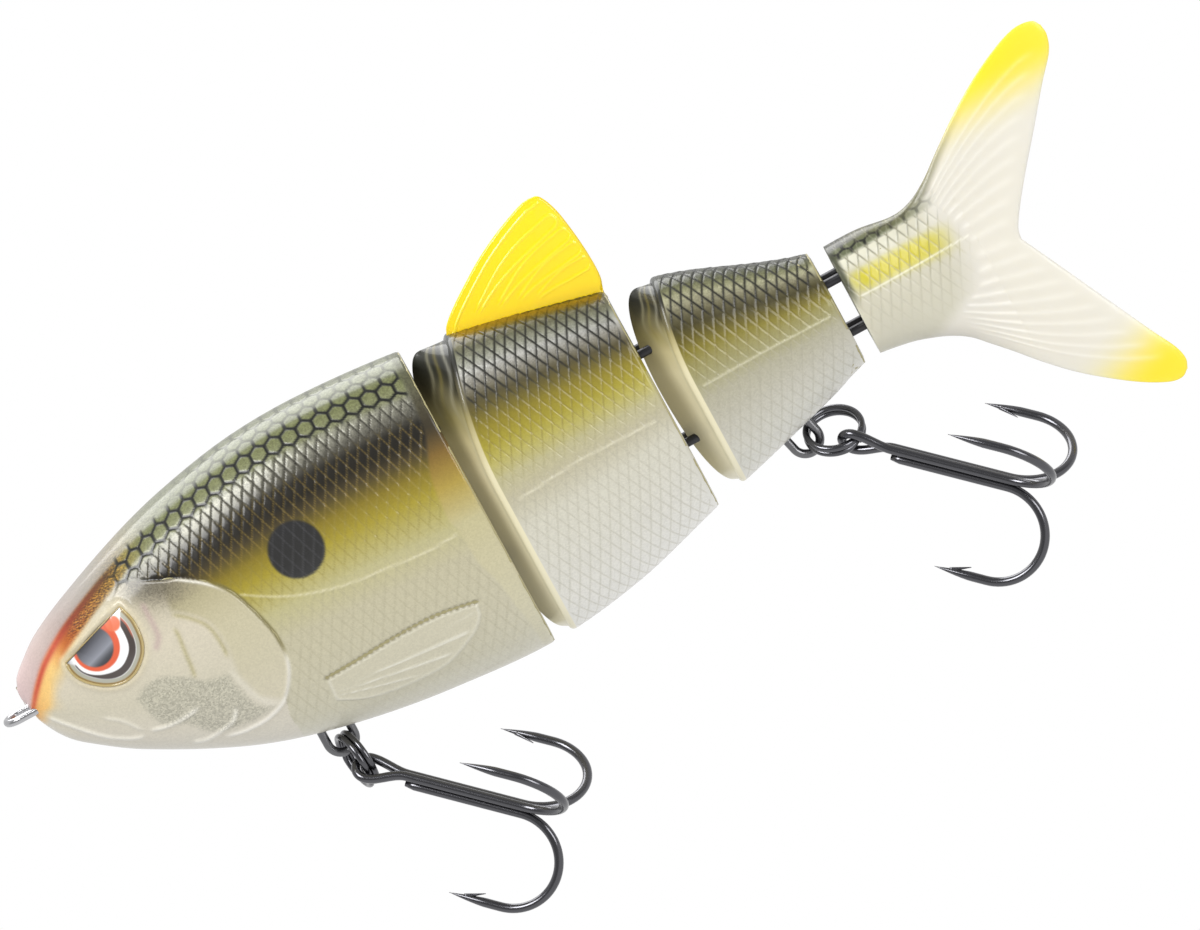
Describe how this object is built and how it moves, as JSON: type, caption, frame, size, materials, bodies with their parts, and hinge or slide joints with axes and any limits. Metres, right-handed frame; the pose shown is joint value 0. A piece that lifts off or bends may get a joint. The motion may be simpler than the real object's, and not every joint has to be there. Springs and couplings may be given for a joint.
{
  "type": "jointed swimbait",
  "caption": "Jointed hard fishing lure shaped as a small fish, with hinged body sections, a soft forked tail, a line tie and swinging treble hooks on split rings.",
  "frame": {"origin": "centre of the eye of the line tie, just ahead of the nose", "axes": "+X from the nose to the tail, +Z from the belly to the back, Y across the body with the fish's left side at -Y"},
  "size_m": [0.1555, 0.0328, 0.0779],
  "materials": {
    "painted_shell": "painted scales under a glossy clear coat",
    "printed_eye": "printed foil disc",
    "clear_dome": "clear glossy dome",
    "bright_wire": "bright stainless wire",
    "hanger_wire": "grey steel wire",
    "ballast_steel": "plain steel slug",
    "pin_steel": "plain stainless pin",
    "link_wire": "dark nickelled wire",
    "yellow_fin": "translucent soft plastic",
    "soft_tail": "translucent soft plastic",
    "core_plastic": "moulded insert",
    "black_nickel_ring": "glossy black nickel plate",
    "black_nickel_hook": "glossy black nickel plate"
  },
  "bodies": {
    "head": {"head_shell_left": "painted_shell", "head_shell_right": "painted_shell", "eye_disc_left": "printed_eye", "eye_disc_right": "printed_eye", "eye_dome_left": "clear_dome", "eye_dome_right": "clear_dome", "line_tie": "bright_wire", "front_hanger": "hanger_wire", "head_ballast": "ballast_steel", "hinge_pin_1": "pin_steel"},
    "front_section": {"front_shell_left": "painted_shell", "front_shell_right": "painted_shell", "dorsal_fin": "yellow_fin", "link_1_upper": "link_wire", "link_1_lower": "link_wire", "front_ballast": "ballast_steel", "hinge_pin_2": "pin_steel"},
    "rear_section": {"rear_shell_left": "painted_shell", "rear_shell_right": "painted_shell", "link_2_upper": "link_wire", "link_2_lower": "link_wire", "rear_hanger": "hanger_wire", "hinge_pin_3": "pin_steel"},
    "tail": {"tail_fin": "soft_tail", "tail_core": "core_plastic", "link_3_upper": "link_wire", "link_3_lower": "link_wire"},
    "front_ring": {"front_split_ring": "black_nickel_ring"},
    "front_treble": {"front_treble_double": "black_nickel_hook", "front_treble_single": "black_nickel_hook"},
    "rear_ring": {"rear_split_ring": "black_nickel_ring"},
    "rear_treble": {"rear_treble_double": "black_nickel_hook", "rear_treble_single": "black_nickel_hook"}
  },
  "joints": [
    {"name": "joint_1", "type": "hinge", "parent": "head", "child": "front_section", "pos_m": [0.0581, 0, 0], "axis": [0, 0, 1], "range_deg": [-12, 12]},
    {"name": "joint_2", "type": "hinge", "parent": "front_section", "child": "rear_section", "pos_m": [0.0859, 0, 0], "axis": [0, 0, 1], "range_deg": [-20, 20]},
    {"name": "joint_3", "type": "hinge", "parent": "rear_section", "child": "tail", "pos_m": [0.1107, 0, 0], "axis": [0, 0, 1], "range_deg": [-20, 20]},
    {"name": "front_ring_swing", "type": "hinge", "parent": "head", "child": "front_ring", "pos_m": [0.03572, 0, -0.02215], "axis": [0, 0, 1], "range_deg": [-33, 15]},
    {"name": "front_treble_swing", "type": "hinge", "parent": "front_ring", "child": "front_treble", "pos_m": [0.03445, -0.00064, -0.02534], "axis": [0.9696, 0.24, 0.0471], "range_deg": [-38, 60]},
    {"name": "rear_ring_swing", "type": "hinge", "parent": "rear_section", "child": "rear_ring", "pos_m": [0.10458, 0, -0.01647], "axis": [-0.2419, 0, 0.9703], "range_deg": [-4, 30]},
    {"name": "rear_treble_swing", "type": "hinge", "parent": "rear_ring", "child": "rear_treble", "pos_m": [0.10653, -0.00022, -0.0176], "axis": [-0.1611, 0.537, -0.8281], "range_deg": [-12, 45]}
  ]
}
